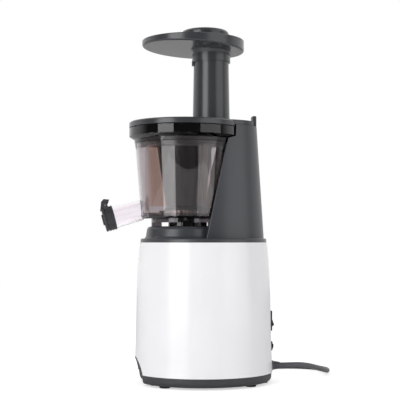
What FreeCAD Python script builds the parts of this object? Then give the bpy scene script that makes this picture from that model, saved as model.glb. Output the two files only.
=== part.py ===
import FreeCAD, Part
import math
import os

os.makedirs("parts", exist_ok=True)

V = FreeCAD.Vector
UP = V(0, 0, 1)

# Driving dimensions in mm. The spout looks towards -X, the tower stands at +X, z is up
# and the table is z = 0.
BOWL_X = -24.9          # axis of the bowl, the auger and the drive shaft
TUBE_X = 10.2           # axis of the feed tube
BODY_TOP = 180.5
BODY_BOTTOM = 14.3
BODY_SECTIONS = [(14.3, 89.3, 82.0), (95.0, 86.9, 79.7), (158.0, 84.5, 77.6), (180.5, 82.4, 75.6)]
BODY_WALL = 3.0
RING_TOP = 185.6
DECK_TOP = 201.0
TOWER_TOP = 331.0
SKIN = 2.5
BOWL_RIM_R = 71.8
BOWL_RIM_TOP = 328.5
LID_TOP = 336.0
TUBE_TOP = 424.0
SHAFT_R = 6.0
MODULE_1 = 0.8
MODULE_2 = 1.25
MODULE_3 = 1.5
PINION_T = 12
WHEEL_T = 72
SMALL_T = 12
OUTPUT_T = 60
SUN_T = 14
IDLER_T = 12
RING_T = 38


def cyl(r, z0, z1, x=0.0, y=0.0):
    return Part.makeCylinder(r, z1 - z0, V(x, y, z0))


def ring(r_out, r_in, z0, z1, x=0.0, y=0.0):
    return cyl(r_out, z0, z1, x, y).cut(cyl(r_in, z0 - 1, z1 + 1, x, y))


def cone(r0, r1, z0, z1, x=0.0, y=0.0):
    return Part.makeCone(r0, r1, z1 - z0, V(x, y, z0))


def block(x0, x1, y0, y1, z0, z1):
    return Part.makeBox(x1 - x0, y1 - y0, z1 - z0, V(x0, y0, z0))


def rod(r, start, end):
    way = end.sub(start)
    return Part.makeCylinder(r, way.Length, start, way)


def turned(profile, x=0.0, y=0.0):
    points = [V(x + r, y, z) for r, z in profile]
    wire = Part.makePolygon(points + [points[0]])
    return Part.Face(wire).revolve(V(x, y, 0), UP, 360)


def prism(points, way):
    wire = Part.makePolygon(points + [points[0]])
    return Part.Face(wire).extrude(way)


def ellipse(a, b, z, x=0.0):
    edge = Part.Ellipse(V(x, 0, z), a, b).toShape()
    return Part.Wire([edge])


def oval(sections, ruled=False):
    wires = [ellipse(a, b, z, x) for z, a, b, x in sections]
    return Part.makeLoft(wires, True, ruled)


def ellipsoid(centre, rx, ry, rz):
    ball = Part.makeSphere(10.0)
    matrix = FreeCAD.Matrix()
    matrix.scale(rx / 10.0, ry / 10.0, rz / 10.0)
    shape = ball.transformGeometry(matrix)
    shape.translate(centre)
    return shape


def join(first, *others):
    shape = first
    for other in others:
        shape = shape.fuse(other)
    return shape.removeSplitter()


def carve(first, *others):
    shape = first
    for other in others:
        shape = shape.cut(other)
    return shape


def save(name, *shapes):
    solids = []
    for shape in shapes:
        solids.extend(shape.Solids)
    body = solids[0] if len(solids) == 1 else Part.makeCompound(solids)
    body.exportStep("parts/" + name + ".step")
    volume = sum(solid.Volume for solid in solids) / 1000.0
    print(name, len(solids), "solids", round(volume, 2), "cm3", body.isValid())


# Gears with involute flanks, 25 degrees pressure angle
PRESSURE = math.radians(25.0)


def gear_outline(teeth, module, top, root, gain, phase, steps, x, y, z):
    pitch_r = teeth * module / 2.0
    base_r = pitch_r * math.cos(PRESSURE)
    inv_pitch = math.tan(PRESSURE) - PRESSURE
    half_pitch = math.pi / (2 * teeth) + gain / (2 * pitch_r)
    low = pitch_r - root
    high = pitch_r + top
    flank = []
    for i in range(steps + 1):
        r = low + (high - low) * i / steps
        bend = math.acos(min(1.0, base_r / r))
        flank.append((r, half_pitch + inv_pitch - (math.tan(bend) - bend)))
    points = []
    for tooth in range(teeth):
        centre = math.radians(phase) + 2 * math.pi * tooth / teeth
        for r, half in flank:
            points.append(V(x + r * math.cos(centre - half), y + r * math.sin(centre - half), z))
        for r, half in reversed(flank):
            points.append(V(x + r * math.cos(centre + half), y + r * math.sin(centre + half), z))
    return points


def gear(teeth, module, phase, z0, z1, x, y, steps=2, gain=-0.12):
    outline = gear_outline(teeth, module, 0.9 * module, 1.15 * module, gain, phase, steps, x, y, z0)
    return prism(outline, V(0, 0, z1 - z0))


def gear_hole(teeth, module, phase, z0, z1, x, y, steps=2):
    outline = gear_outline(teeth, module, 1.15 * module, 0.85 * module, 0.14, phase, steps, x, y, z0)
    return prism(outline, V(0, 0, z1 - z0))


def screw(x, y, z_head, z_tip, r_shank, r_head, head):
    turn = 1 if z_tip > z_head else -1
    shank = cyl(r_shank, min(z_head, z_tip), max(z_head, z_tip), x, y)
    top = cyl(r_head, min(z_head, z_head - turn * head), max(z_head, z_head - turn * head), x, y)
    slot = Part.makeBox(r_head * 1.3, 1.2, 1.2, V(x - r_head * 0.65, y - 0.6, -0.6))
    slot.translate(V(0, 0, z_head - turn * head))
    return join(shank, top).cut(slot)


# Where the gear axes stand: the compound gear meets the motor pinion and the output gear
MESH_1 = (PINION_T + WHEEL_T) * MODULE_1 / 2.0
MESH_2 = (SMALL_T + OUTPUT_T) * MODULE_2 / 2.0
COMP_X = (MESH_2 ** 2 - MESH_1 ** 2 - BOWL_X ** 2) / (-2.0 * BOWL_X)
COMP_Y = math.sqrt(MESH_1 ** 2 - COMP_X ** 2)
TO_COMP = math.degrees(math.atan2(COMP_Y, COMP_X))
TO_OUT = math.degrees(math.atan2(-COMP_Y, BOWL_X - COMP_X))

# Outer casing of the motor base, with the cup recess scooped out of its front
grown = [(z, a, b, 0.0) for z, a, b in BODY_SECTIONS]
inner = [(z, a - BODY_WALL, b - BODY_WALL, 0.0) for z, a, b in BODY_SECTIONS]
inner[0] = (BODY_BOTTOM - 0.5,) + inner[0][1:]
inner[-1] = (BODY_TOP + 0.5,) + inner[-1][1:]
body_solid = oval(grown)
body_inner = oval(inner)
SCOOP = V(-100.0, 0, 0)
scoop_air = ellipsoid(SCOOP, 24.0, 55.0, 37.0)
scoop_skin = ellipsoid(SCOOP, 26.5, 57.5, 39.5)
scoop_cut = ellipsoid(SCOOP, 26.7, 57.7, 39.7)

SCREW_SPOTS = [(72.3, 33.5), (-66.0, 42.4), (-66.0, -42.4), (72.3, -33.5)]
housing = body_solid.cut(body_inner)
posts = []
for x, y in SCREW_SPOTS:
    post = cyl(6.0, BODY_BOTTOM + 1.2, 44.0, x, y)
    posts.append(post.common(body_solid))
housing = housing.fuse(posts)
for x, y in SCREW_SPOTS:
    housing = housing.cut(cyl(2.05, BODY_BOTTOM - 1, 40.0, x, y))
SWITCH_Z = 79.0
BUTTON_Z = 45.9
CORD_Z = 20.6
housing = carve(
    housing,
    scoop_cut,
    block(70, 100, -7.7, 7.7, SWITCH_Z - 11.7, SWITCH_Z + 11.7),
    rod(5.3, V(70, 0, BUTTON_Z), V(100, 0, BUTTON_Z)),
    rod(5.0, V(70, 0, CORD_Z), V(100, 0, CORD_Z)),
)
save("motor_housing", housing)

# Bottom cover: a shallow dish with vent slots, the liner of the recess and four screw holes
dish = oval([(2.6, 87.4, 80.4, 0), (BODY_BOTTOM, 88.0, 81.0, 0)], True)
low_edges = [e for e in dish.Edges if e.BoundBox.ZMax < 2.7]
dish = dish.makeFillet(6.0, low_edges)
dish_air = oval([(5.1, 84.0, 77.0, 0), (BODY_BOTTOM + 1, 85.4, 78.4, 0)], True)
cover = dish.cut(dish_air)
collar = oval([(12.0, 86.0, 78.7, 0), (15.2, 86.0, 78.7, 0)], True)
collar_air = oval([(11.0, 83.6, 76.3, 0), (16.0, 83.6, 76.3, 0)], True)
cover = cover.fuse(collar.cut(collar_air)).cut(scoop_air)
envelope = dish.fuse(body_solid.common(block(-110, -40, -70, 70, BODY_BOTTOM - 0.1, 60)))
liner = scoop_skin.common(envelope).cut(scoop_air)
cover = cover.fuse(liner)
for x, y in SCREW_SPOTS:
    cover = cover.cut(cyl(7.0, 12.0, 20.0, x, y)).fuse(cyl(5.5, 3.0, BODY_BOTTOM + 1.1, x, y))
for x, y in SCREW_SPOTS:
    cover = cover.cut(cyl(2.3, 0, 20.0, x, y)).cut(cyl(4.4, 0, 6.0, x, y))
for i in range(9):
    y = -32.0 + 8.0 * i
    cover = cover.cut(block(-22, 34, y - 1.8, y + 1.8, 0, 6.5))
FOOT_SPOTS = [(54, 46), (-54, 46), (-54, -46), (54, -46)]
for x, y in FOOT_SPOTS:
    cover = cover.cut(cyl(2.6, 0, 8.0, x, y))
cover = cover.cut(block(80.0, 86.1, -9.0, 9.0, 12.0, 16.0))
save("base_cover", cover)

feet = []
for x, y in FOOT_SPOTS:
    pad = turned([(0, 0), (6.2, 0), (7.0, 0.8), (7.0, 2.6), (2.5, 2.6), (2.5, 5.1), (3.3, 5.1),
                  (2.6, 7.0), (0, 7.0)], x, y)
    feet.append(pad)
save("rubber_feet", *feet)

screws = [screw(x, y, 6.0, 34.0, 2.0, 4.1, 2.4) for x, y in SCREW_SPOTS]
save("housing_screws", *screws)

# Bowl cone: the outside of the bowl wall, used again for the hollow of the tower that holds it
BOWL_OUT = [(211.0, 54.0), (213.6, 56.3), (242.0, 58.5), (300.7, 63.2), (305.0, 64.0), (313.0, 65.5)]


def bowl_cone(extra, floor=0.0):
    profile = [(0, 204.0 - floor), (50.0 + extra, 204.0 - floor)]
    for z, r in BOWL_OUT:
        profile.append((r + extra, z - (floor if z < 212 else 0)))
    profile.append((BOWL_RIM_R + extra, 316.0))
    profile.append((BOWL_RIM_R + extra, 345.0))
    profile.append((0, 345.0))
    return turned(profile, BOWL_X)


# Upper housing: ring, deck boss and the tower that wraps the back of the bowl
TOWER_LOW = (RING_TOP, 75.8, 54.5, 3.0)
TOWER_HIGH = (TOWER_TOP, 60.3, 43.5, 9.5)


def tower_oval(inset, z_low=RING_TOP, z_high=TOWER_TOP):
    rows = []
    for z in (z_low, z_high):
        k = (z - RING_TOP) / (TOWER_TOP - RING_TOP)
        a = TOWER_LOW[1] + k * (TOWER_HIGH[1] - TOWER_LOW[1]) - inset
        b = TOWER_LOW[2] + k * (TOWER_HIGH[2] - TOWER_LOW[2]) - inset
        x = TOWER_LOW[3] + k * (TOWER_HIGH[3] - TOWER_LOW[3])
        rows.append((z, a, b, x))
    return oval(rows, True)


def front_wedge(shift):
    slope = 0.2217
    low = 24.7 - slope * (310.0 - 150.0) + shift
    high = 24.7 + slope * (360.0 - 310.0) + shift
    points = [V(-120, -90, 150), V(low, -90, 150), V(high, -90, 360), V(-120, -90, 360)]
    return prism(points, V(0, 180, 0))


tower = tower_oval(0.0, 184.0, TOWER_TOP).cut(front_wedge(0.0))
upright = [e for e in tower.Edges if e.BoundBox.ZLength > 100 and e.BoundBox.XMax < 40]
tower = tower.makeFillet(1.2, upright)
boss = turned([(0, 184), (51.5, 184), (51.5, 186.2), (50.0, 188.0), (48.6, 197.2), (47.2, 200.0),
               (44.5, DECK_TOP), (0, DECK_TOP)], BOWL_X)
lip = oval([(BODY_TOP, 81.8, 75.0, 0), (RING_TOP, 81.4, 74.6, 0)], True)
lip_edges = [e for e in lip.Edges if e.BoundBox.ZMin > RING_TOP - 0.1]
lip = lip.makeFillet(1.6, lip_edges)
upper = lip.fuse([tower, boss])
fin = block(63.5, 69.0, -7.0, 7.0, 322.0, 345.5)
fin_edges = [e for e in fin.Edges if e.BoundBox.ZMin > 345.0 or e.BoundBox.ZLength > 20]
fin = fin.makeFillet(1.4, fin_edges)
upper = upper.fuse(fin)
upper = upper.cut(bowl_cone(1.5)).cut(cyl(46.0, DECK_TOP, 204.5, BOWL_X))
hollow = tower_oval(SKIN, 186.5, TOWER_TOP - SKIN).cut(front_wedge(SKIN))
hollow = hollow.cut(bowl_cone(1.5 + SKIN, 5.5))
upper = upper.cut(hollow)
under_lip = oval([(BODY_TOP - 1, 78.8, 72.0, 0), (183.0, 78.8, 72.0, 0)], True)
under_boss = turned([(0, 180), (48.5, 180), (48.5, 184.5), (46.3, 195.0), (44.0, DECK_TOP - SKIN),
                     (0, DECK_TOP - SKIN)], BOWL_X)
well = oval([(180.0, 64.0, 46.0, 8.0), (188.0, 64.0, 46.0, 8.0)], True).cut(cyl(50.0, 170, 200, BOWL_X))
upper = carve(upper, under_lip, under_boss, well)
GEAR_EARS = [(BOWL_X + 46.0 * math.cos(math.radians(a)), 46.0 * math.sin(math.radians(a)))
             for a in (118, 180, 242, 300)]
GEAR_EARS.append((COMP_X + 36.8 * math.cos(math.radians(25)), COMP_Y + 36.8 * math.sin(math.radians(25))))
for x, y in GEAR_EARS:
    pillar = cyl(4.3, 172.0, 184.5, x, y)
    upper = upper.fuse(pillar)
for x, y in GEAR_EARS:
    upper = upper.cut(cyl(1.65, 170.0, 182.5, x, y))
snap_ring = oval([(176.0, 78.4, 71.7, 0), (184.0, 78.4, 71.7, 0)], True)
snap_air = oval([(175.0, 76.4, 69.7, 0), (185.0, 76.4, 69.7, 0)], True)
upper = upper.fuse(snap_ring.cut(snap_air))
upper = upper.cut(cyl(10.0, 190.0, 210.0, BOWL_X))
save("upper_housing", upper)
save("shaft_seal", turned([(10.0, 198.0), (10.0, 201.0), (6.6, 201.0), (6.3, 199.5), (6.6, 198.0)], BOWL_X))

# Gearbox: a case, a cover and two reductions, 30 to 1 in all
CASE_R_OUT = 42.3
CASE_R_COMP = 33.1


def belt_hull(r_one, r_two, z0, z1):
    dx = COMP_X - BOWL_X
    length = math.hypot(dx, COMP_Y)
    lean = math.atan2(COMP_Y, dx)
    bend = math.acos((r_one - r_two) / length)
    corners = []
    for side in (1, -1):
        a = lean + side * bend
        p = V(BOWL_X + r_one * math.cos(a), r_one * math.sin(a), z0)
        q = V(COMP_X + r_two * math.cos(a), COMP_Y + r_two * math.sin(a), z0)
        corners.append((p, q))
    quad = prism([corners[0][0], corners[0][1], corners[1][1], corners[1][0]], V(0, 0, z1 - z0))
    shape = quad.fuse([cyl(r_one, z0, z1, BOWL_X), cyl(r_two, z0, z1, COMP_X, COMP_Y)])
    return shape.removeSplitter()


case = belt_hull(CASE_R_OUT, CASE_R_COMP, 134.0, 168.0)
case = case.cut(belt_hull(CASE_R_OUT - 2.5, CASE_R_COMP - 2.5, 138.0, 169.0))
for x, y in GEAR_EARS:
    case = case.fuse(cyl(4.3, 150.0, 168.0, x, y))
case = case.cut(belt_hull(CASE_R_OUT - 2.5, CASE_R_COMP - 2.5, 138.0, 169.0))
case = case.fuse([ring(13.0, 10.0, 136.0, 144.0, BOWL_X), ring(6.0, 3.0, 136.0, 141.4, COMP_X, COMP_Y)])
for x, y in GEAR_EARS:
    case = case.cut(cyl(2.3, 140.0, 170.0, x, y))
case = carve(case, cyl(10.0, 130, 150, BOWL_X), cyl(8.0, 130, 139), cyl(3.0, 136.0, 150, COMP_X, COMP_Y))
for angle in (45, 135, 225, 315):
    x = 27.0 * math.cos(math.radians(angle))
    y = 27.0 * math.sin(math.radians(angle))
    case = case.cut(cyl(1.7, 130, 139, x, y))
save("gearbox_case", case)

cover = belt_hull(CASE_R_OUT, CASE_R_COMP, 168.0, 172.0)
for x, y in GEAR_EARS:
    cover = cover.fuse(cyl(4.3, 168.0, 172.0, x, y))
cover = cover.fuse([cyl(13.0, 170.0, 181.0, BOWL_X), cyl(6.0, 166.5, 169.0, COMP_X, COMP_Y)])
for x, y in GEAR_EARS:
    cover = cover.cut(cyl(2.3, 160.0, 175.0, x, y))
cover = carve(cover, cyl(10.0, 160, 190, BOWL_X), cyl(3.0, 160.0, 169.8, COMP_X, COMP_Y))
save("gearbox_cover", cover)
save("gearbox_screws", *[screw(x, y, 150.0, 181.0, 1.6, 3.1, 2.2) for x, y in GEAR_EARS])
save("compound_axle", cyl(3.0, 136.0, 169.8, COMP_X, COMP_Y))
bushes = []
for z0, z1 in ((134.0, 144.0), (168.0, 181.0)):
    bushes.append(ring(10.0, SHAFT_R + 0.04, z0, z1, BOWL_X))
save("output_bushes", *bushes)

wheel = gear(WHEEL_T, MODULE_1, TO_COMP + 180 + 2.5, 142.0, 149.0, COMP_X, COMP_Y)
wheel = wheel.cut(ring(25.0, 11.0, 147.0, 150.0, COMP_X, COMP_Y))
small = gear(SMALL_T, MODULE_2, TO_OUT, 149.0, 166.0, COMP_X, COMP_Y)
save("compound_gear", wheel.fuse(small).cut(cyl(3.05, 140, 170, COMP_X, COMP_Y)))

output = gear(OUTPUT_T, MODULE_2, TO_OUT + 180 + 3.0, 152.0, 164.0, BOWL_X, 0)
output = output.cut(ring(33.0, 13.0, 160.5, 165.0, BOWL_X)).cut(ring(33.0, 13.0, 151.0, 155.5, BOWL_X))
key = block(BOWL_X - 8.0, BOWL_X + 8.0, -1.5, 1.5, 155.0, 161.0)
save("output_gear", output.cut(cyl(SHAFT_R, 150, 166, BOWL_X)).cut(key))
hexagon = []
for i in range(6):
    a = math.radians(60 * i)
    hexagon.append(V(BOWL_X + SHAFT_R * math.cos(a), SHAFT_R * math.sin(a), 202.0))
shaft = cyl(SHAFT_R, 135.0, 202.0, BOWL_X).fuse(prism(hexagon, V(0, 0, 34.0)))
save("drive_shaft", shaft.fuse(key).removeSplitter())

# Motor: stator with wound poles, rotor, shaft with its pinion, fan, two brackets and two bushes
stator = ring(36.0, 31.0, 78.0, 122.0)
pole_block = block(19.0, 33.0, -5.0, 5.0, 78.0, 122.0)
shoe = ring(24.0, 20.8, 78.0, 122.0).common(block(10.0, 30.0, -9.0, 9.0, 70, 130))
windings = []
for i in range(6):
    turn = 60 * i
    pole = pole_block.cut(cyl(20.8, 70, 130)).fuse(shoe)
    pole.rotate(V(0, 0, 0), UP, turn)
    stator = stator.fuse(pole)
    coil = block(24.4, 29.6, -8.6, 8.6, 73.0, 127.0)
    coil = coil.makeFillet(2.5, [e for e in coil.Edges if e.BoundBox.XLength > 5.0])
    coil = coil.cut(block(20.0, 33.0, -5.1, 5.1, 77.9, 122.1))
    coil.rotate(V(0, 0, 0), UP, turn)
    windings.append(coil)
save("stator_core", stator.removeSplitter())
save("stator_windings", *windings)
rotor = cyl(20.0, 78.0, 122.0).cut(cyl(4.0, 70, 130))
for i in range(12):
    slot = block(17.0, 21.0, -0.9, 0.9, 77.0, 123.0)
    slot.rotate(V(0, 0, 0), UP, 30 * i)
    rotor = rotor.cut(slot)
save("rotor_core", rotor)
pinion = gear(PINION_T, MODULE_1, TO_COMP, 138.5, 150.5, 0, 0, 3)
save("motor_shaft", cyl(4.0, 50.0, 138.5).fuse([pinion, cyl(3.7, 137.0, 150.5)]).removeSplitter())
fan = cyl(9.0, 52.0, 63.0).fuse(cyl(30.0, 61.5, 63.0))
for i in range(8):
    blade = block(8.0, 29.0, -0.8, 0.8, 52.0, 62.0)
    blade.rotate(V(18, 0, 0), UP, 25)
    blade.rotate(V(0, 0, 0), UP, 45 * i)
    fan = fan.fuse(blade)
save("cooling_fan", fan.cut(cyl(4.0, 50, 70)))
top_bracket = ring(38.0, 36.0, 116.0, 134.0).fuse(cyl(38.0, 131.0, 134.0))
low_bracket = ring(38.0, 36.0, 66.0, 84.0).fuse(cyl(38.0, 66.0, 68.5))
for angle in range(0, 360, 60):
    vent = ring(33.0, 12.0, 60.0, 140.0).common(block(10.0, 36.0, -5.0, 5.0, 60, 140))
    vent.rotate(V(0, 0, 0), UP, angle)
    top_bracket = top_bracket.cut(vent)
    low_bracket = low_bracket.cut(vent)
top_bracket = top_bracket.cut(cyl(8.0, 130, 136))
low_bracket = low_bracket.cut(cyl(8.0, 60, 70))
save("motor_brackets", top_bracket, low_bracket)
save("motor_bushes", ring(8.0, 4.04, 128.5, 137.0), ring(8.0, 4.04, 66.0, 71.0))

# Control side: board, lid interlock switch, rocker switch body, reset breaker
board = block(52.0, 53.6, -22.0, 22.0, 204.0, 288.0)
board = board.fuse([block(53.0, 63.0, -8.0, 8.0, 210.0, 228.0), block(53.0, 61.0, -20.0, -10.0, 210.0, 236.0),
                    rod(5.0, V(53, 13, 250), V(66, 13, 250)), rod(5.0, V(53, 0, 250), V(66, 0, 250)),
                    block(53.0, 58.0, -18.0, 18.0, 266.0, 274.0)])
save("circuit_board", board.removeSplitter())
reed = block(54.0, 62.0, -5.0, 5.0, 322.5, 328.5)
save("interlock_switch", reed)

switch_body = block(66.0, 87.0, -7.5, 7.5, SWITCH_Z - 11.5, SWITCH_Z + 11.5)
bezel = block(86.6, 88.9, -9.0, 9.0, SWITCH_Z - 13.0, SWITCH_Z + 13.0)
bezel = bezel.makeFillet(1.0, [e for e in bezel.Edges if e.BoundBox.XMin > 88.8])
bezel = bezel.cut(housing)
switch_body = switch_body.fuse(bezel).cut(block(73.5, 95.0, -5.5, 5.5, SWITCH_Z - 11.0, SWITCH_Z + 10.2))
terminals = []
for z in (SWITCH_Z - 6.0, SWITCH_Z + 6.0):
    terminals.append(block(58.0, 67.0, -3.0, 3.0, z - 0.5, z + 0.5))
ROCKER_X = 83.0
switch_body = switch_body.fuse(terminals)
save("switch_body", switch_body.cut(rod(1.56, V(ROCKER_X, -7.0, SWITCH_Z), V(ROCKER_X, 7.0, SWITCH_Z))))
breaker = block(64.0, 82.0, -8.0, 8.0, BUTTON_Z - 9.0, BUTTON_Z + 9.0)
neck = rod(5.2, V(81.0, 0, BUTTON_Z), V(88.9, 0, BUTTON_Z))
flange = rod(6.3, V(88.5, 0, BUTTON_Z), V(89.9, 0, BUTTON_Z))
breaker = breaker.fuse([neck, flange]).cut(rod(3.1, V(74.0, 0, BUTTON_Z), V(95.0, 0, BUTTON_Z)))
save("reset_breaker", breaker)

wedge = [V(79.5, -5.0, 71.5), V(88.0, -5.0, 70.2), V(92.1, -5.0, 73.3), V(87.2, -5.0, 87.6), V(79.5, -5.0, 87.0)]
rocker = prism(wedge, V(0, 10.0, 0))
rocker = rocker.makeFillet(0.8, [e for e in rocker.Edges if e.BoundBox.XMin > 86.0 and e.BoundBox.YLength > 5])
save("rocker", rocker.fuse(rod(1.5, V(ROCKER_X, -6.6, SWITCH_Z), V(ROCKER_X, 6.6, SWITCH_Z))))
button = rod(3.0, V(76.5, 0, BUTTON_Z), V(91.6, 0, BUTTON_Z))
button = button.makeFillet(0.8, [e for e in button.Edges if e.BoundBox.XMin > 91.0])
save("reset_button", button)

# Bowl: one clear shell with a thick floor, four locating lugs and a stepped rim
SPOUT_WAY = V(-0.9665, 0, -0.2568)
SPOUT_UP = V(-0.2568, 0, 0.9665)
SPOUT_ROOT = V(-81.1, 0, 222.1)


def on_spout(s, up=0.0):
    return SPOUT_ROOT + SPOUT_WAY * s + SPOUT_UP * up


bowl = turned([(9.0, DECK_TOP), (21.0, DECK_TOP), (21.0, 206.0), (43.0, 206.0), (43.0, 211.0)]
              + [(r, z) for z, r in BOWL_OUT]
              + [(BOWL_RIM_R, 317.0), (BOWL_RIM_R, 327.7), (71.0, BOWL_RIM_TOP), (69.0, BOWL_RIM_TOP),
                 (69.0, 319.5), (63.2, 315.3), (62.3, 312.5), (59.6, 312.5), (59.6, 310.0),
                 (61.3, 308.0), (60.7, 300.7), (56.0, 242.0), (54.0, 217.5), (52.0, 213.5),
                 (9.0, 213.5)], BOWL_X)
for i in range(4):
    lug = block(BOWL_X + 30.0, BOWL_X + 44.0, -6.5, 6.5, DECK_TOP, 207.0)
    lug = lug.common(cyl(43.0, 190, 220, BOWL_X))
    lug.rotate(V(BOWL_X, 0, 0), UP, 90 * i)
    bowl = bowl.fuse(lug)
IDLER_Y = (SUN_T + IDLER_T) * MODULE_3 / 2.0
bowl = carve(bowl, rod(11.4, on_spout(-20), on_spout(8)),
             block(BOWL_X - 11.0, BOWL_X + 11.0, 45.0, 66.0, 213.5, 230.0),
             cyl(3.0, 208.0, 214.0, BOWL_X, IDLER_Y), cyl(3.0, 208.0, 214.0, BOWL_X, -IDLER_Y))
save("bowl", bowl)
gasket = [(9.0, 202.0), (9.0, 212.0), (6.6, 212.0), (6.3, 211.0), (6.9, 209.0), (6.9, 204.0), (6.3, 203.0),
          (6.6, 202.0)]
save("bowl_gasket", turned(gasket, BOWL_X))
save("idler_pins", *[cyl(3.0, 208.0, 221.2, BOWL_X, y) for y in (IDLER_Y, -IDLER_Y)])

pulp = block(BOWL_X - 13.0, BOWL_X + 13.0, 45.0, 80.0, 211.5, 232.0)
pulp = pulp.makeFillet(3.0, [e for e in pulp.Edges if e.BoundBox.YLength > 20])
pulp = pulp.cut(block(BOWL_X - 11.0, BOWL_X + 11.0, 40.0, 90.0, 213.5, 230.0)).cut(bowl_cone(0.0))
save("pulp_spout", pulp)

spout = Part.makeCone(12.8, 14.2, 43.5, on_spout(-8), SPOUT_WAY)
spout = spout.fuse(rod(13.6, on_spout(35.0), on_spout(45.0)))
spout = spout.cut(bowl_cone(0.0)).cut(rod(11.4, on_spout(-30), on_spout(50)))
save("juice_spout", spout.removeSplitter())
collar = rod(15.2, on_spout(35.6), on_spout(46.0))
for s in (36.0, 39.6, 43.2):
    collar = collar.fuse(rod(15.9, on_spout(s), on_spout(s + 1.8)))
ears = []
for y in (-9.0, 6.4):
    side = V(0, y, 0)
    foot = [on_spout(s, up) + side for s, up in ((40.5, 11.0), (46.0, 11.0), (46.0, 18.2), (40.5, 18.2))]
    ears.append(prism(foot, V(0, 2.6, 0)).fuse(rod(3.1, V(-127.9, y, 228.5), V(-127.9, y + 2.6, 228.5))))
collar = collar.fuse(ears).cut(rod(13.6, on_spout(30), on_spout(50)))
PIN = V(-127.9, 0, 228.5)
collar = collar.cut(rod(1.2, V(PIN.x, -12, PIN.z), V(PIN.x, 12, PIN.z)))
collar = collar.cut(rod(3.4, V(PIN.x, -6.2, PIN.z), V(PIN.x, 6.2, PIN.z)))
save("tap_collar", collar)
save("tap_hinge_pin", rod(1.2, V(PIN.x, -9.6, PIN.z), V(PIN.x, 9.6, PIN.z)))

flap = rod(15.8, on_spout(46.6), on_spout(49.6))
flap = flap.makeFillet(0.8, [e for e in flap.Edges if e.Length > 50 and e.CenterOfMass.x < on_spout(48).x])
flap = flap.fuse(rod(7.0, on_spout(49.0), on_spout(51.4)))
barrel = rod(3.1, V(PIN.x, -6.0, PIN.z), V(PIN.x, 6.0, PIN.z))
thumb = prism([V(-133.8, -6.0, 220.5), V(-131.0, -6.0, 220.5), V(-127.9, -6.0, 227.0), V(-122.4, -6.0, 231.0),
               V(-121.6, -6.0, 235.4), V(-129.5, -6.0, 236.2), V(-132.6, -6.0, 233.0)], V(0, 12.0, 0))
thumb = thumb.makeFillet(0.7, [e for e in thumb.Edges if e.BoundBox.YLength > 5 and e.BoundBox.ZMin > 230])
for swing in (0, 14, 28, 42, 57):
    guard = rod(16.3, on_spout(28), on_spout(46.3))
    guard.rotate(PIN, V(0, 1, 0), -swing)
    thumb = thumb.cut(guard)
flap = flap.fuse([barrel, thumb]).cut(rod(1.26, V(PIN.x, -12, PIN.z), V(PIN.x, 12, PIN.z)))
flap = flap.cut(rod(3.5, on_spout(45.0), on_spout(47.6)))
save("tap_flap", flap)
seal = rod(13.2, on_spout(45.3), on_spout(46.6)).fuse(rod(3.5, on_spout(46.0), on_spout(47.6)))
save("tap_seal", seal.removeSplitter())

# Strainer: a fine cone between a top flange and a bottom ring
MESH_OUT = [(221.5, 23.5), (312.5, 36.9)]


def mesh_r(z):
    return 23.5 + (z - 221.5) * (36.9 - 23.5) / (312.5 - 221.5)


save("strainer_mesh", turned([(22.7, 221.5), (23.5, 221.5), (36.9, 312.5), (36.1, 312.5)], BOWL_X))
flange = turned([(36.1, 312.5), (61.8, 312.5), (61.8, 315.0), (38.2, 315.0), (36.1, 314.0)], BOWL_X)
foot = turned([(23.5, 221.5), (26.0, 221.5), (26.0, 225.0), (mesh_r(226.5), 226.5)], BOWL_X)
save("strainer_frame", flange, foot)

# Auger: a hub with its gear, a screw body with two flights cut to the strainer's cone, a journal
FLIGHT_PITCH = 46.0
FLIGHT_LOW = 225.0
FLIGHT_HIGH = 309.0
FLIGHT_STEPS = 32


def core_r(z):
    return 14.0 + (z - FLIGHT_LOW) * 3.0 / (FLIGHT_HIGH - FLIGHT_LOW)


def auger_section(z):
    twist = 360.0 * (z - FLIGHT_LOW) / FLIGHT_PITCH
    tip = mesh_r(z) - 2.0
    core = core_r(z)
    points = []
    for lobe in (0, 180):
        for r, a in ((tip, -14), (tip, 0), (tip, 14), (core, 26), (core, 65), (core, 110), (core, 154)):
            turn = math.radians(twist + lobe + a)
            points.append(V(BOWL_X + r * math.cos(turn), r * math.sin(turn), z))
    return points


def triangle(a, b, c):
    return Part.Face(Part.makePolygon([a, b, c, a]))


def screw_body():
    rows = []
    for i in range(FLIGHT_STEPS + 1):
        rows.append(auger_section(FLIGHT_LOW + (FLIGHT_HIGH - FLIGHT_LOW) * i / FLIGHT_STEPS))
    faces = [Part.Face(Part.makePolygon(row + [row[0]])) for row in (rows[0], rows[-1])]
    for low, high in zip(rows, rows[1:]):
        for i in range(len(low)):
            j = (i + 1) % len(low)
            faces.append(triangle(low[i], low[j], high[j]))
            faces.append(triangle(low[i], high[j], high[i]))
    body = Part.Solid(Part.Shell(faces))
    if body.Volume < 0:
        body.reverse()
    return body


hub = turned([(0, 213.8), (8.7, 213.8), (8.7, 221.2), (12.5, 221.2), (13.8, 225.0), (0, 225.0)], BOWL_X)
journal = turned([(0, 309.0), (16.9, 309.0), (12.0, 314.0), (SHAFT_R, 316.5), (SHAFT_R, 326.0), (5.2, 326.8),
                  (0, 326.8)], BOWL_X)
auger = hub.fuse([gear(SUN_T, MODULE_3, 90.0, 213.8, 221.2, BOWL_X, 0, 3, -0.2), screw_body(), journal])
socket = []
for i in range(6):
    a = math.radians(60 * i)
    socket.append(V(BOWL_X + (SHAFT_R + 0.17) * math.cos(a), (SHAFT_R + 0.17) * math.sin(a), 213.0))
save("auger", auger.cut(prism(socket, V(0, 0, 24.0))))

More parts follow.
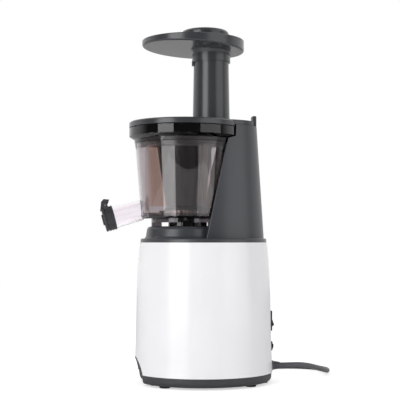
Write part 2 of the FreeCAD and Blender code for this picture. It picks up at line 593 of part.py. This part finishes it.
# Brush cage with its toothed ring, three silicone wiper blades and the two idler gears
cage = cyl(33.0, 213.8, 221.2, BOWL_X)
cage = cage.fuse([cyl(50.0, 213.8, 216.2, BOWL_X), ring(51.0, 48.0, 213.8, 219.0, BOWL_X)])
hole = gear_hole(RING_T, MODULE_3, 90.0 + 180.0 / RING_T, 213.0, 222.0, BOWL_X, 0)
cage = cage.cut(hole).fuse(ring(51.0, 46.5, 306.0, 311.5, BOWL_X))
blades = []
for angle in (180, 60, 300):
    arm = block(46.5, 51.0, -5.0, 5.0, 214.5, 310.0)
    arm = arm.makeFillet(1.2, [e for e in arm.Edges if e.BoundBox.ZLength > 50 and e.BoundBox.XMin > 50])
    arm.translate(V(BOWL_X, 0, 0))
    arm.rotate(V(BOWL_X, 0, 0), UP, angle)
    cage = cage.fuse(arm)
    low = mesh_r(227.3) + 0.5
    high = mesh_r(306.0) + 0.5
    outline = [V(low, -1.0, 227.3), V(46.5, -1.0, 227.3), V(46.5, -1.0, 306.0), V(high, -1.0, 306.0)]
    blade = prism(outline, V(0, 2.0, 0))
    blade.translate(V(BOWL_X, 0, 0))
    blade.rotate(V(BOWL_X, 0, 0), UP, angle)
    blades.append(blade)
save("brush_cage", cage.removeSplitter())
save("wiper_blades", *blades)
for name, y, phase in (("idler_gear_a", IDLER_Y, 285.0), ("idler_gear_b", -IDLER_Y, 105.0)):
    idler = gear(IDLER_T, MODULE_3, phase, 213.8, 221.2, BOWL_X, y, 3, -0.2)
    save(name, idler.cut(cyl(3.05, 210, 225, BOWL_X, y)))

# Lid with its wing over the tower and the feed tube
plate = turned([(0, 328.7), (71.4, 328.7), (BOWL_RIM_R, 329.1), (BOWL_RIM_R, 334.6), (70.4, LID_TOP),
                (0, LID_TOP)], BOWL_X)
wing = oval([(331.3, 60.0, 43.2, 9.5), (337.0, 59.6, 42.8, 9.5)], True).cut(block(63.0, 90, -60, 60, 300, 360))
lid = plate.fuse(wing)
hollow = cyl(66.3, 327.0, 333.0, BOWL_X)
lid = lid.cut(hollow)
lid = lid.fuse([ring(68.7, 66.3, 320.5, 330.0, BOWL_X), cyl(10.5, 319.0, 334.0, BOWL_X),
                turned([(0, 322.0), (23.0, 322.0), (23.0, 333.0), (26.0, 333.0), (26.0, 336.2), (24.6, 338.0),
                        (24.05, 344.0), (23.0, 404.0), (23.0, TUBE_TOP), (0, TUBE_TOP)], TUBE_X)])
lid = carve(lid, cyl(20.0, 318.0, 430.0, TUBE_X), cyl(8.0, 315.0, 329.0, BOWL_X),
            ring(70.0, 67.4, 323.0, 325.6, BOWL_X), cyl(4.0, 330.0, 335.0, 58.0))
save("lid", lid)
save("lid_bush", ring(8.0, SHAFT_R + 0.05, 319.0, 329.0, BOWL_X))
save("lid_gasket", ring(68.95, 67.4, 323.0, 325.6, BOWL_X))
save("lid_magnet", cyl(4.0, 331.6, 335.0, 58.0))

# Tray: a round dish with a sloping floor and a collar that slips over the feed tube
TRAY_X = -13.7
TRAY_R = 66.4
TRAY_TOP = 442.7


def below_tray(lift):
    low = 435.5 - 0.0587 * (-120.0 + 80.1) + lift
    high = 435.5 - 0.0587 * (100.0 + 80.1) + lift
    return prism([V(-120, -90, 380), V(100, -90, 380), V(100, -90, high), V(-120, -90, low)], V(0, 180, 0))


dish = cyl(TRAY_R, 415.0, TRAY_TOP, TRAY_X).cut(below_tray(0.0))
dish = dish.makeFillet(2.6, [e for e in dish.Edges if e.Length > 300 and e.BoundBox.ZMax < 440])
dish = dish.makeFillet(0.9, [e for e in dish.Edges if e.BoundBox.ZMin > TRAY_TOP - 0.1])
well = cyl(TRAY_R - 2.8, 415.0, 450.0, TRAY_X).cut(below_tray(2.8))
dish = dish.cut(well)
neck = turned([(23.15, 415.0), (25.0, 415.0), (25.0, 426.0), (27.0, 431.5), (18.0, 431.5), (18.0, 424.3),
               (23.15, 424.3)], TUBE_X)
clip = block(TUBE_X - 25.4, TUBE_X - 23.4, -3.0, 3.0, 410.5, 417.0)
tray = dish.fuse([neck, clip]).cut(cyl(18.0, 424.0, 440.0, TUBE_X)).cut(cyl(23.15, 400.0, 424.3, TUBE_X))
save("tray", tray)

# Pusher: a hollow stem with a low domed cap set towards the front, and its wiper ring
CAP_X = 2.0
cap = turned([(0, 446.0), (28.5, 446.0), (31.0, 448.5), (31.0, 453.2), (29.3, 455.6), (26.6, 456.8),
              (16.3, 459.1), (8.0, 460.2), (0, 460.5)], CAP_X)
cap = cap.cut(turned([(0, 445.0), (27.5, 445.0), (28.3, 451.0), (16.0, 456.0), (0, 457.5)], CAP_X))
stem = cyl(17.3, 338.0, 457.0, TUBE_X)
pusher = cap.fuse(stem).cut(cyl(14.8, 341.0, 454.0, TUBE_X)).cut(ring(18.0, 15.8, 346.0, 350.0, TUBE_X))
save("pusher", pusher.removeSplitter())
save("pusher_seal", turned([(15.8, 346.0), (17.2, 346.0), (17.8, 348.0), (17.2, 350.0), (15.8, 350.0)], TUBE_X))

# Power cord: strain relief, the free stretch with its bends, and the coil behind the base
CORD_R = 3.5
ROUTE = [(80, 0, 20.6), (106, 0, 20.6), (134, 6, 20.4), (160, 26, 12.5), (178, 55, 5.5), (183, 88, 3.7),
         (168, 118, 3.6), (138, 130, 3.6), (104, 124, 3.6), (72, 116.5, 3.6), (44, 114, 3.6), (17, 114, 3.6)]
COIL_X = 10.0
COIL_Y = 162.0
COIL_R = 48.0
COIL_PITCH = 8.6
COIL_LOW = 3.6
HALF_TURNS = 4


def arc(start, middle, end):
    return Part.Arc(start, middle, end).toShape()


def bent_path(points):
    corners = [V(*p) for p in points]
    edges = []
    radii = []
    start = corners[0]
    for before, corner, after in zip(corners, corners[1:], corners[2:]):
        way_in = corner.sub(before)
        way_out = after.sub(corner)
        reach = 0.45 * min(way_in.Length, way_out.Length)
        half = way_in.getAngle(way_out) / 2.0
        radius = reach / math.tan(half)
        radii.append(round(radius, 1))
        way_in.normalize()
        way_out.normalize()
        inward = way_out.sub(way_in).normalize()
        middle = corner + inward * (reach / math.sin(half) - radius)
        edges.append(Part.LineSegment(start, corner - way_in * reach).toShape())
        edges.append(arc(corner - way_in * reach, middle, corner + way_out * reach))
        start = corner + way_out * reach
    edges.append(Part.LineSegment(start, corners[-1]).toShape())
    return Part.Wire(edges), radii


def coil_path():
    stops = []
    for k in range(HALF_TURNS + 1):
        stops.append((COIL_R - k * COIL_PITCH / 2.0, COIL_LOW))
    for r, z in reversed(stops[:]):
        stops.append((r, z + COIL_PITCH))
    points = []
    for k, (r, z) in enumerate(stops):
        side = -1 if k % 2 == 0 else 1
        points.append(V(COIL_X, COIL_Y + side * r, z))
    lead = V(2 * CORD_R, 0, 0)
    edges = [Part.LineSegment(points[0] + lead, points[0]).toShape()]
    for k in range(len(points) - 1):
        ahead = V(-1, 0, 0) if k % 2 == 0 else V(1, 0, 0)
        centre = (points[k] + points[k + 1]) * 0.5
        across = points[k + 1] - centre
        r = across.Length
        across.normalize()
        crest = centre + ahead * r
        edges.append(arc(points[k], centre + (ahead - across) * (r / math.sqrt(2)), crest))
        edges.append(arc(crest, centre + (ahead + across) * (r / math.sqrt(2)), points[k + 1]))
    edges.append(Part.LineSegment(points[-1], points[-1] + lead).toShape())
    return Part.Wire(edges)


def cord_tube(name, path, start, way):
    section = Part.Wire([Part.makeCircle(CORD_R, start, way)])
    tube = path.makePipeShell([section], True, False)
    expected = math.pi * CORD_R ** 2 * path.Length
    print(name, "length", round(path.Length, 1), "volume over expected", round(tube.Volume / expected, 4))
    save(name, tube)


def least_gap(path):
    points = []
    for edge in path.Edges:
        count = max(2, int(edge.Length / 4.0))
        points.extend(edge.discretize(Number=count)[:-1])
    walked = [0.0]
    for a, b in zip(points, points[1:]):
        walked.append(walked[-1] + a.distanceToPoint(b))
    least = 1e9
    for i, a in enumerate(points):
        for j in range(i + 1, len(points)):
            if walked[j] - walked[i] > 60.0:
                least = min(least, a.distanceToPoint(points[j]))
    return least - 2 * CORD_R


free, bends = bent_path(ROUTE)
print("bend radii of the free stretch", bends)
cord_tube("cord_free", free, V(*ROUTE[0]), V(1, 0, 0))
coil = coil_path()
print("least gap between the loops of the coil", round(least_gap(coil), 2))
cord_tube("cord_coil", coil, V(*ROUTE[-1]), V(-1, 0, 0))

relief = rod(4.9, V(77.0, 0, CORD_Z), V(90.0, 0, CORD_Z))
relief = relief.fuse([rod(6.2, V(83.6, 0, CORD_Z), V(86.0, 0, CORD_Z)),
                      rod(6.4, V(89.3, 0, CORD_Z), V(91.2, 0, CORD_Z)),
                      Part.makeCone(5.9, 4.4, 8.8, V(91.2, 0, CORD_Z), V(1, 0, 0))])
for i in range(3):
    x = 92.8 + 2.3 * i
    groove = rod(7.0, V(x, 0, CORD_Z), V(x + 0.9, 0, CORD_Z))
    relief = relief.cut(groove.cut(rod(4.1, V(x, 0, CORD_Z), V(x + 0.9, 0, CORD_Z))))
save("strain_relief", relief.cut(housing).cut(rod(CORD_R + 0.05, V(70, 0, CORD_Z), V(110, 0, CORD_Z))))

# Plug: two round pins in a moulded body that rests beside the coil
PLUG_X = COIL_X + 2 * CORD_R
PLUG_Y = COIL_Y + COIL_R
PLUG_Z = COIL_LOW + COIL_PITCH
PIN_X = PLUG_X + 56.0
grip = block(PLUG_X + 26.0, PIN_X, PLUG_Y - 18.5, PLUG_Y + 18.5, PLUG_Z - 11.8, PLUG_Z + 11.8)
grip = grip.makeFillet(8.0, [e for e in grip.Edges if e.BoundBox.XLength > 20])
grip = grip.makeFillet(3.0, [e for e in grip.Edges if e.BoundBox.XMax < PLUG_X + 27.0])
neck = Part.makeCone(4.3, 7.2, 28.0, V(PLUG_X, PLUG_Y, PLUG_Z), V(1, 0, 0))
plug = grip.fuse(neck)
pins = []
for y in (PLUG_Y - 9.5, PLUG_Y + 9.5):
    pin = rod(2.4, V(PIN_X - 6.0, y, PLUG_Z), V(PIN_X + 19.0, y, PLUG_Z))
    pin = pin.makeFillet(1.2, [e for e in pin.Edges if e.BoundBox.XMin > PIN_X + 18.0])
    pins.append(pin)
    plug = plug.cut(rod(2.4, V(PIN_X - 6.0, y, PLUG_Z), V(PIN_X + 2.0, y, PLUG_Z)))
save("plug_body", plug)
save("plug_pins", *pins)
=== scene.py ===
# %% [markdown]
# A cold press juicer stands on a white table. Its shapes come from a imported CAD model, which is
# loaded as a fixed frame. Blender's work is the finish: glossy white casing, dark moulded
# plastic, a smoky see-through bowl, silicone, steel, and the power cord at its real length.

# %% Load the frame
import math

import bpy
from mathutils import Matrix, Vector


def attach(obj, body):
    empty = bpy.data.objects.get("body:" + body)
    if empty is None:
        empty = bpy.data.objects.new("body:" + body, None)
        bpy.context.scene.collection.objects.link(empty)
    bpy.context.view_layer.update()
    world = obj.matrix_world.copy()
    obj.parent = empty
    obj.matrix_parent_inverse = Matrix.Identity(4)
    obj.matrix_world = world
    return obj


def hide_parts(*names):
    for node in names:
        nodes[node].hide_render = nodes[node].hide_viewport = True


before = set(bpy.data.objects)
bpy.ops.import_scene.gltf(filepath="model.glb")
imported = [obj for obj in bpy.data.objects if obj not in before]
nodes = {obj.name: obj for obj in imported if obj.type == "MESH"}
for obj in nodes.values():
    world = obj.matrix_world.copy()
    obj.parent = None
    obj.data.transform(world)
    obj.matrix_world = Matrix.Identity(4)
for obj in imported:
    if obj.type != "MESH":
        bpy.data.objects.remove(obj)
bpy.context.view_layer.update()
print("nodes loaded:", len(nodes))

# %% [markdown]
# The photograph was taken with a long lens, from a point a little above the middle of the base
# and seven degrees to the spout side of square on. A camera on a circle about the object's axis
# gives that view; it is tilted up a little so that the tray comes into the frame.

# %% Camera
VIEW_TURN = math.radians(7.0)
VIEW_DISTANCE = 1.365
VIEW_HEIGHT = 0.1837
TILT_UP = math.radians(2.18)
SIDE_STEP = math.radians(0.19)
towards_camera = Vector((-math.sin(VIEW_TURN), -math.cos(VIEW_TURN), 0))
camera_right = Vector((math.cos(VIEW_TURN), -math.sin(VIEW_TURN), 0))

camera_data = bpy.data.cameras.new("camera")
camera_data.lens = 94.5
camera_data.sensor_width = 36.0
camera = bpy.data.objects.new("camera", camera_data)
camera.location = towards_camera * VIEW_DISTANCE + Vector((0, 0, VIEW_HEIGHT))
camera.rotation_euler = (math.pi / 2 + TILT_UP, 0, -VIEW_TURN + SIDE_STEP)
bpy.context.scene.collection.objects.link(camera)
bpy.context.scene.camera = camera
bpy.context.scene.view_settings.view_transform = "Standard"

# %% [markdown]
# The cord leaves the strain relief at the back, bends round behind the base and is wound there
# into a coil of two layers, which the base hides. Its centreline is one smooth NURBS spline. The
# free points are listed one by one; the coil's points come from a loop that steps round a circle
# whose radius shrinks and grows again at a steady rate.

# %% Power cord
CORD_RADIUS = 0.0035
CORD_POINTS = [(0.080, 0, 0.0206), (0.106, 0, 0.0206), (0.134, 0.006, 0.0204), (0.160, 0.026, 0.0125),
               (0.178, 0.055, 0.0055), (0.183, 0.088, 0.0037), (0.168, 0.118, 0.0036),
               (0.138, 0.130, 0.0036), (0.104, 0.124, 0.0036), (0.072, 0.1165, 0.0036),
               (0.044, 0.114, 0.0036), (0.017, 0.114, 0.0036)]
COIL_CENTRE = Vector((0.010, 0.162, 0))
COIL_RADIUS = 0.048
COIL_PITCH = 0.0086
COIL_FLOOR = 0.0036
COIL_HALVES = 4
STEPS_PER_HALF = 10
LEAD = 2 * CORD_RADIUS      # short straight lengths before and after the coil


def coil_points():
    stops = [(COIL_RADIUS - k * COIL_PITCH / 2, COIL_FLOOR) for k in range(COIL_HALVES + 1)]
    stops += [(r, z + COIL_PITCH) for r, z in reversed(stops)]
    points = []
    for k in range(len(stops) - 1):
        (r0, z0), (r1, z1) = stops[k], stops[k + 1]
        side = -1 if k % 2 == 0 else 1
        middle = COIL_CENTRE + Vector((0, side * (r0 - r1) / 2, (z0 + z1) / 2))
        radius = (r0 + r1) / 2 / math.cos(math.pi / (2 * STEPS_PER_HALF))
        for step in range(STEPS_PER_HALF):
            angle = math.pi * (step + 0.5) / STEPS_PER_HALF
            along = math.cos(angle)
            rise = (z1 - z0) * (0.5 - along / 2)
            points.append(middle + Vector((side * math.sin(angle) * radius,
                                           side * along * radius, z0 + rise - (z0 + z1) / 2)))
    return points


END_Y = COIL_CENTRE.y + COIL_RADIUS
END_Z = COIL_FLOOR + COIL_PITCH
START_Y = COIL_CENTRE.y - COIL_RADIUS
cord_route = [Vector(p) for p in CORD_POINTS] + [Vector((COIL_CENTRE.x, START_Y, COIL_FLOOR))]
cord_route += coil_points()
cord_route += [Vector((COIL_CENTRE.x, END_Y, END_Z)), Vector((COIL_CENTRE.x + LEAD, END_Y, END_Z))]

cord_data = bpy.data.curves.new("power_cord", "CURVE")
cord_data.dimensions = "3D"
cord_data.bevel_depth = 1.0
cord_data.bevel_resolution = 5
cord_data.resolution_u = 8
spline = cord_data.splines.new("NURBS")
spline.points.add(len(cord_route) - 1)
for point, place in zip(spline.points, cord_route):
    point.co = (*place, 1.0)
    point.radius = CORD_RADIUS
spline.order_u = 3
spline.use_endpoint_u = True
cord = bpy.data.objects.new("power_cord", cord_data)
bpy.context.scene.collection.objects.link(cord)
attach(cord, "base")
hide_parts("cord_free", "cord_coil")
print("cord route points:", len(cord_route))

# %% [markdown]
# Every colour below is written as the hex value that it has on a screen. Blender's shaders work
# with linear light, so one function turns the hex value into linear numbers. A second small
# function adds a shader node with its settings and its links, which keeps each material short.

# %% Helpers for materials
MM_PER_METRE = 1000.0


def linear(code):
    parts = [int(code[i:i + 2], 16) / 255 for i in (1, 3, 5)]
    return (*[p / 12.92 if p <= 0.04045 else ((p + 0.055) / 1.055) ** 2.4 for p in parts], 1.0)


def add_node(tree, kind, links=None, inputs=None, **settings):
    node = tree.nodes.new(kind)
    for name, value in settings.items():
        setattr(node, name, value)
    for name, value in (inputs or {}).items():
        node.inputs[name].default_value = value
    for name, source in (links or {}).items():
        tree.links.new(source, node.inputs[name])
    return node


def start_material(name):
    material = bpy.data.materials.new(name)
    material.use_nodes = True
    tree = material.node_tree
    shader = tree.nodes["Principled BSDF"]
    place = add_node(tree, "ShaderNodeTexCoord").outputs["Object"]
    return material, tree, shader, place


def dress(material, *names):
    for name in names:
        slots = nodes[name].data.materials
        slots.clear()
        slots.append(material)


# %% [markdown]
# Most of the juicer is injection moulded ABS. A polished mould leaves a gloss with a faint
# ripple, a few millimetres wide, that shows only in reflections; a spark-eroded mould leaves a
# fine grain and a softer sheen. One function covers both: the ripple or grain is a noise texture
# in real millimetres that feeds the bump, and a second, slow noise varies the colour slightly.

# %% Moulded plastic
def moulded(name, colour, shade, roughness, grain_mm, grain_depth, rough_spread=0.05):
    material, tree, shader, place = start_material(name)
    slow = add_node(tree, "ShaderNodeTexNoise", {"Vector": place}, {"Scale": 18.0, "Detail": 2.0})
    blend = add_node(tree, "ShaderNodeMixRGB", {"Fac": slow.outputs["Fac"]},
                     {"Color1": linear(colour), "Color2": linear(shade)})
    grain = add_node(tree, "ShaderNodeTexNoise", {"Vector": place},
                     {"Scale": MM_PER_METRE / grain_mm, "Detail": 3.0})
    spread = add_node(tree, "ShaderNodeMapRange", {"Value": grain.outputs["Fac"]})
    spread.inputs["To Min"].default_value = roughness - rough_spread
    spread.inputs["To Max"].default_value = roughness + rough_spread
    bump = add_node(tree, "ShaderNodeBump", {"Height": grain.outputs["Fac"]},
                    {"Strength": 1.0, "Distance": grain_depth})
    tree.links.new(blend.outputs["Color"], shader.inputs["Base Color"])
    tree.links.new(spread.outputs["Result"], shader.inputs["Roughness"])
    tree.links.new(bump.outputs["Normal"], shader.inputs["Normal"])
    shader.inputs["IOR"].default_value = 1.52
    return material


white_abs = moulded("gloss_white_abs", "#eeeef0", "#e9e9ec", 0.20, 9.0, 0.00002)
slate_abs = moulded("satin_slate_abs", "#3c3e42", "#393b3f", 0.34, 1.4, 0.00001)
lid_abs = moulded("gloss_slate_abs", "#37393c", "#343639", 0.24, 3.0, 0.00001)
matt_abs = moulded("matt_slate_abs", "#35373a", "#323437", 0.45, 0.8, 0.00003)
black_nylon = moulded("black_nylon", "#1a1a1b", "#161617", 0.4, 0.8, 0.00002)
auger_plastic = moulded("dark_ultem", "#101116", "#0d0e12", 0.35, 2.0, 0.00002)
acetal = moulded("natural_acetal", "#d8d4c6", "#d2cebf", 0.35, 2.0, 0.00001)
foot_rubber = moulded("black_foot_rubber", "#1c1c1c", "#222222", 0.8, 0.6, 0.00006)
dark_silicone = moulded("dark_silicone", "#26262a", "#232326", 0.55, 1.0, 0.00002)
cord_pvc = moulded("cord_pvc", "#55565a", "#4f5054", 0.42, 1.2, 0.00003)
board_laminate = moulded("board_laminate", "#1d4a2c", "#1a4327", 0.4, 1.5, 0.00002)
ferrite = moulded("ferrite_magnet", "#3a3a3b", "#333334", 0.6, 0.7, 0.00004)

dress(white_abs, "motor_housing")
dress(slate_abs, "upper_housing")
dress(lid_abs, "lid", "tray", "pusher")
dress(matt_abs, "base_cover", "tap_collar", "tap_flap")
dress(black_nylon, "gearbox_case", "gearbox_cover", "cooling_fan", "interlock_switch", "switch_body",
      "reset_breaker", "rocker", "reset_button")
dress(auger_plastic, "auger", "strainer_frame")
dress(acetal, "compound_gear", "output_gear", "idler_gear_a", "idler_gear_b")
dress(foot_rubber, "rubber_feet")
dress(dark_silicone, "shaft_seal", "bowl_gasket", "tap_seal", "lid_gasket", "pusher_seal")
dress(cord_pvc, "strain_relief", "plug_body")
dress(board_laminate, "circuit_board")
dress(ferrite, "lid_magnet")
cord_data.materials.append(cord_pvc)

# %% [markdown]
# The metal parts are turned steel, iron sheet, copper wire and sintered bronze. Turning and
# drawing leave fine parallel lines, so a wave texture runs along z and gives the roughness a
# narrow band of light and dark. At a wave scale of 100 the lines are about 3 mm apart.

# %% Metals
def metal(name, colour, roughness, wave_scale):
    material, tree, shader, place = start_material(name)
    lines = add_node(tree, "ShaderNodeTexWave", {"Vector": place},
                     {"Scale": wave_scale, "Distortion": 1.5, "Detail": 2.0},
                     bands_direction="Z")
    spread = add_node(tree, "ShaderNodeMapRange", {"Value": lines.outputs["Fac"]})
    spread.inputs["To Min"].default_value = roughness - 0.06
    spread.inputs["To Max"].default_value = roughness + 0.08
    tree.links.new(spread.outputs["Result"], shader.inputs["Roughness"])
    shader.inputs["Base Color"].default_value = linear(colour)
    shader.inputs["Metallic"].default_value = 1.0
    return material


turned_steel = metal("turned_steel", "#b9babd", 0.28, 100.0)
zinc_steel = metal("zinc_plated_steel", "#c4c6c8", 0.32, 83.3)
sheet_iron = metal("stacked_sheet_iron", "#6a6a6d", 0.5, 100.0)
copper_wire = metal("enamelled_copper", "#a65a33", 0.35, 83.3)
bronze = metal("sintered_bronze", "#a8824f", 0.5, 125.0)
dress(turned_steel, "compound_axle", "drive_shaft", "motor_shaft", "motor_brackets", "idler_pins",
      "tap_hinge_pin", "plug_pins")
dress(zinc_steel, "housing_screws", "gearbox_screws")
dress(sheet_iron, "stator_core", "rotor_core")
dress(copper_wire, "stator_windings")
dress(bronze, "output_bushes", "motor_bushes", "lid_bush")

# %% [markdown]
# The strainer is a cone of thin, dark etched steel with rows of tiny holes. The real holes are about
# 0.4 mm, too fine to show at this distance, so they are drawn 1.6 mm apart as dark dots. The
# rows follow the cone, so the pattern reads the angle about the bowl's axis and the height.

# %% Strainer mesh
BOWL_AXIS_X = -0.0249
WAVES_AROUND = 60.0         # in the full circle
WAVES_UP = 1900.0           # radians in a metre


def etched_steel():
    material, tree, shader, place = start_material("etched_steel_mesh")
    centred = add_node(tree, "ShaderNodeMapping", {"Vector": place})
    centred.inputs["Location"].default_value = (-BOWL_AXIS_X, 0, 0)
    parts = add_node(tree, "ShaderNodeSeparateXYZ", {"Vector": centred.outputs["Vector"]})
    angle = add_node(tree, "ShaderNodeMath", {0: parts.outputs["Y"], 1: parts.outputs["X"]},
                     operation="ARCTAN2")
    around = add_node(tree, "ShaderNodeMath", {0: angle.outputs[0]}, {1: WAVES_AROUND},
                      operation="MULTIPLY")
    up = add_node(tree, "ShaderNodeMath", {0: parts.outputs["Z"]}, {1: WAVES_UP}, operation="MULTIPLY")
    wave_a = add_node(tree, "ShaderNodeMath", {0: around.outputs[0]}, operation="SINE")
    wave_b = add_node(tree, "ShaderNodeMath", {0: up.outputs[0]}, operation="SINE")
    dots = add_node(tree, "ShaderNodeMath", {0: wave_a.outputs[0], 1: wave_b.outputs[0]},
                    operation="MULTIPLY")
    ramp = add_node(tree, "ShaderNodeValToRGB", {"Fac": dots.outputs[0]})
    ramp.color_ramp.elements[0].position = 0.25
    ramp.color_ramp.elements[0].color = linear("#14151b")
    ramp.color_ramp.elements[1].position = 0.45
    ramp.color_ramp.elements[1].color = linear("#060609")
    tree.links.new(ramp.outputs["Color"], shader.inputs["Base Color"])
    shader.inputs["Roughness"].default_value = 0.3
    return material


dress(etched_steel(), "strainer_mesh")

# %% [markdown]
# The bowl is moulded in a smoky see-through plastic, the spout and the brush cage in clearer
# ones, and the wiper blades are amber silicone. All four are a Principled shader that transmits;
# the tint is the base colour. The bowl's rim and floor are much thicker than its wall and read
# almost black, so a colour ramp over the height gives them a darker tint.

# %% See-through plastics
def see_through(name, colour, roughness, ripple_mm, ripple_depth, transmission=1.0):
    material, tree, shader, place = start_material(name)
    ripple = add_node(tree, "ShaderNodeTexNoise", {"Vector": place},
                      {"Scale": MM_PER_METRE / ripple_mm, "Detail": 2.0})
    bump = add_node(tree, "ShaderNodeBump", {"Height": ripple.outputs["Fac"]},
                    {"Strength": 1.0, "Distance": ripple_depth})
    tree.links.new(bump.outputs["Normal"], shader.inputs["Normal"])
    shader.inputs["Base Color"].default_value = linear(colour)
    shader.inputs["Roughness"].default_value = roughness
    shader.inputs["IOR"].default_value = 1.5
    shader.inputs["Transmission Weight"].default_value = transmission
    return material


SMOKE_WALL = "#c6c0c2"
SMOKE_FLOOR = "#4d484c"
SMOKE_RIM = "#3c393f"
smoky_bowl = see_through("smoky_tritan", SMOKE_WALL, 0.01, 14.0, 0.00002)
tree = smoky_bowl.node_tree
object_place = tree.nodes["Texture Coordinate"].outputs["Object"]
height = add_node(tree, "ShaderNodeSeparateXYZ", {"Vector": object_place})
level = add_node(tree, "ShaderNodeMapRange", {"Value": height.outputs["Z"]},
                 {"From Min": 0.2, "From Max": 0.33})
tint = add_node(tree, "ShaderNodeValToRGB", {"Fac": level.outputs["Result"]})
stops = tint.color_ramp.elements
stops[0].position = 0.10
stops[0].color = linear(SMOKE_FLOOR)
stops[1].position = 0.13
stops[1].color = linear(SMOKE_WALL)
stops.new(0.82).color = linear(SMOKE_WALL)
stops.new(0.87).color = linear(SMOKE_RIM)
tree.links.new(tint.outputs["Color"], tree.nodes["Principled BSDF"].inputs["Base Color"])
clear_spout = see_through("clear_tritan", "#fbf7fa", 0.02, 12.0, 0.00003)
hazy_cage = see_through("hazy_cage_plastic", "#efe2de", 0.06, 4.0, 0.00002, 1.0)
amber_silicone = see_through("amber_silicone", "#ffe2d0", 0.08, 3.0, 0.00002, 0.9)
amber_silicone.node_tree.nodes["Principled BSDF"].inputs["IOR"].default_value = 1.41
dress(smoky_bowl, "bowl", "pulp_spout")
dress(clear_spout, "juice_spout")
dress(hazy_cage, "brush_cage")
dress(amber_silicone, "wiper_blades")

# %% [markdown]
# The table and the surroundings are plain white. The world shows as pure white to the camera. In
# reflections and through the clear plastics it has a bright back and a dim front, as in a photo
# studio: the white paper stands behind the object and the dark room is in front of it.

# %% Floor and world
def white_floor():
    material, tree, shader, place = start_material("white_table")
    output = tree.nodes["Material Output"]
    shader.inputs["Base Color"].default_value = linear("#ffffff")
    shader.inputs["Roughness"].default_value = 0.9
    glow = add_node(tree, "ShaderNodeEmission", inputs={"Strength": 0.55})
    both = add_node(tree, "ShaderNodeAddShader", {0: shader.outputs[0], 1: glow.outputs[0]})
    path = add_node(tree, "ShaderNodeLightPath")
    seen = add_node(tree, "ShaderNodeMath", {0: path.outputs["Is Camera Ray"],
                                             1: path.outputs["Is Transmission Ray"]},
                    operation="MAXIMUM")
    mixed = add_node(tree, "ShaderNodeMixShader", {0: seen.outputs[0], 1: shader.outputs[0],
                                                   2: both.outputs[0]})
    tree.links.new(mixed.outputs[0], output.inputs["Surface"])
    return material


floor_mesh = bpy.data.meshes.new("table")
TABLE = 3.0
corners = [(-TABLE, -TABLE, 0), (TABLE, -TABLE, 0), (TABLE, TABLE, 0), (-TABLE, TABLE, 0)]
floor_mesh.from_pydata(corners, [], [(0, 1, 2, 3)])
floor_mesh.materials.append(white_floor())
table = bpy.data.objects.new("table", floor_mesh)
bpy.context.scene.collection.objects.link(table)

world = bpy.data.worlds.new("studio")
world.use_nodes = True
bpy.context.scene.world = world
tree = world.node_tree
for node in list(tree.nodes):
    tree.nodes.remove(node)
white = linear("#ffffff")
direction = add_node(tree, "ShaderNodeTexCoord").outputs["Generated"]
facing = add_node(tree, "ShaderNodeVectorMath", {0: direction}, operation="DOT_PRODUCT")
facing.inputs[1].default_value = -towards_camera
room = add_node(tree, "ShaderNodeMapRange", {"Value": facing.outputs["Value"]},
                {"From Min": -0.15, "From Max": 0.25, "To Min": 0.12, "To Max": 1.0})
room_light = add_node(tree, "ShaderNodeBackground", {"Strength": room.outputs["Result"]}, {"Color": white})
even_light = add_node(tree, "ShaderNodeBackground", inputs={"Color": white, "Strength": 0.5})
paper = add_node(tree, "ShaderNodeBackground", inputs={"Color": white, "Strength": 1.0})
path = add_node(tree, "ShaderNodeLightPath")
bent = add_node(tree, "ShaderNodeMath", {0: path.outputs["Is Glossy Ray"],
                                         1: path.outputs["Is Transmission Ray"]},
                    operation="MAXIMUM")
mirrored = add_node(tree, "ShaderNodeMixShader", {0: bent.outputs[0], 1: even_light.outputs[0],
                                                  2: room_light.outputs[0]})
shown = add_node(tree, "ShaderNodeMixShader", {0: path.outputs["Is Camera Ray"], 1: mirrored.outputs[0],
                                               2: paper.outputs[0]})
add_node(tree, "ShaderNodeOutputWorld", {"Surface": shown.outputs[0]})

# %% [markdown]
# Two softboxes give the long vertical highlights: a bright one to the left of the camera and a
# wider, dimmer one to the right. Area lights do this, because they show in reflections.

# %% Lamps
def softbox(name, turn, distance, width, height, centre_z, watts):
    data = bpy.data.lights.new(name, "AREA")
    data.shape = "RECTANGLE"
    data.size = width
    data.size_y = height
    data.energy = watts
    lamp = bpy.data.objects.new(name, data)
    way = towards_camera * math.cos(turn) + camera_right * math.sin(turn)
    lamp.location = way * distance + Vector((0, 0, centre_z))
    aim = Vector((0, 0, 0.25)) - lamp.location
    lamp.rotation_euler = aim.to_track_quat("-Z", "Y").to_euler()
    bpy.context.scene.collection.objects.link(lamp)


softbox("left_softbox", math.radians(-38.0), 1.3, 0.75, 1.2, 0.35, 11.0)
softbox("right_softbox", math.radians(56.0), 1.5, 1.3, 1.2, 0.35, 7.0)
